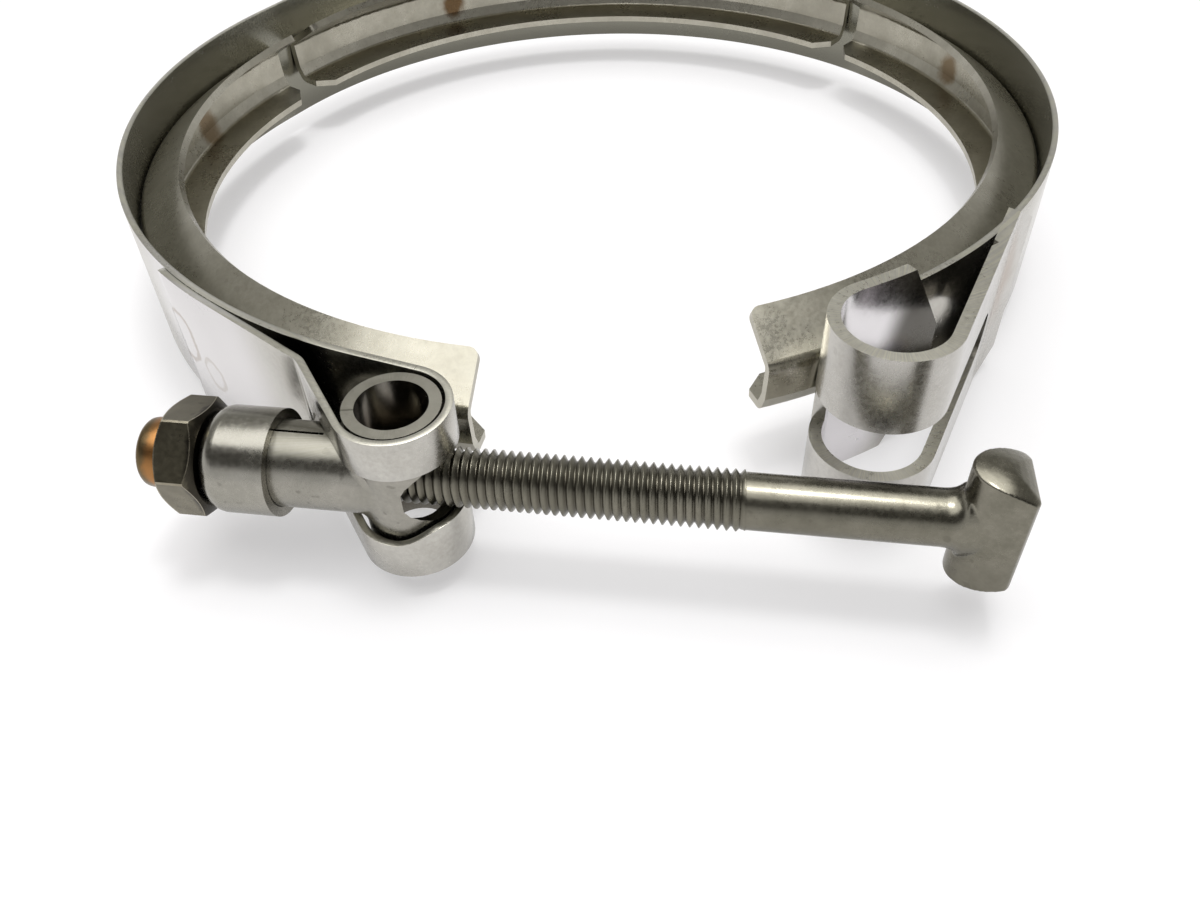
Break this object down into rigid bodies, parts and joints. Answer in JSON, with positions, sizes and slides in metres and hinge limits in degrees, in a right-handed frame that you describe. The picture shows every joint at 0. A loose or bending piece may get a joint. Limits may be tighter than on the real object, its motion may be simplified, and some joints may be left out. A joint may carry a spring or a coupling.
{
  "type": "v band clamp",
  "caption": "T-bolt V-band clamp: slotted steel band with V-section retainers inside, swivelling trunnion, ferrule and lock nut, and a hammer-head bolt for the folded catch loop.",
  "frame": {"origin": "on the axis of the clamped joint, in the middle plane of the band", "axes": "+Z along the axis of the joint, -Y toward the latch and its bolt, +X toward the bolt's head"},
  "size_m": [0.1304, 0.1488, 0.0254],
  "materials": {
    "band_steel": "matte stainless strip with a warm grey tone",
    "retainer_steel": "matte stainless sheet, slightly yellow",
    "strap_steel": "smooth bright stainless strap",
    "trunnion_steel": "satin stainless sheet",
    "ferrule_steel": "satin turned steel",
    "nut_steel": "dark plated nut with a brown collar",
    "bolt_steel": "satin bolt with a dark rolled thread"
  },
  "bodies": {
    "clamp": {"band": "band_steel", "retainer_left": "retainer_steel", "retainer_back": "retainer_steel", "retainer_right": "retainer_steel", "t_bolt_loop": "strap_steel"},
    "trunnion": {"trunnion": "trunnion_steel"},
    "ferrule": {"ferrule": "ferrule_steel"},
    "t_bolt": {"t_bolt": "bolt_steel"},
    "lock_nut": {"lock_nut": "nut_steel"}
  },
  "joints": [
    {"name": "trunnion_swing", "type": "hinge", "parent": "clamp", "child": "trunnion", "pos_m": [-0.0221, -0.07081, 0], "axis": [0, 0, 1], "range_deg": [-1, 4]},
    {"name": "ferrule_spin", "type": "hinge", "parent": "trunnion", "child": "ferrule", "pos_m": [-0.0221, -0.07081, 0], "axis": [0.986, -0.1668, 0], "continuous": true},
    {"name": "nut_turn", "type": "hinge", "parent": "ferrule", "child": "lock_nut", "pos_m": [-0.0221, -0.07081, 0], "axis": [0.986, -0.1668, 0], "range_deg": [0, 9370]},
    {"name": "bolt_slide", "type": "slide", "parent": "ferrule", "child": "t_bolt", "axis": [-0.986, 0.1668, 0], "range_m": [0, 0.0236]}
  ],
  "couplings": [
    {"joint": "nut_turn", "follows": "bolt_slide", "rad_per_m": 6927.4}
  ]
}
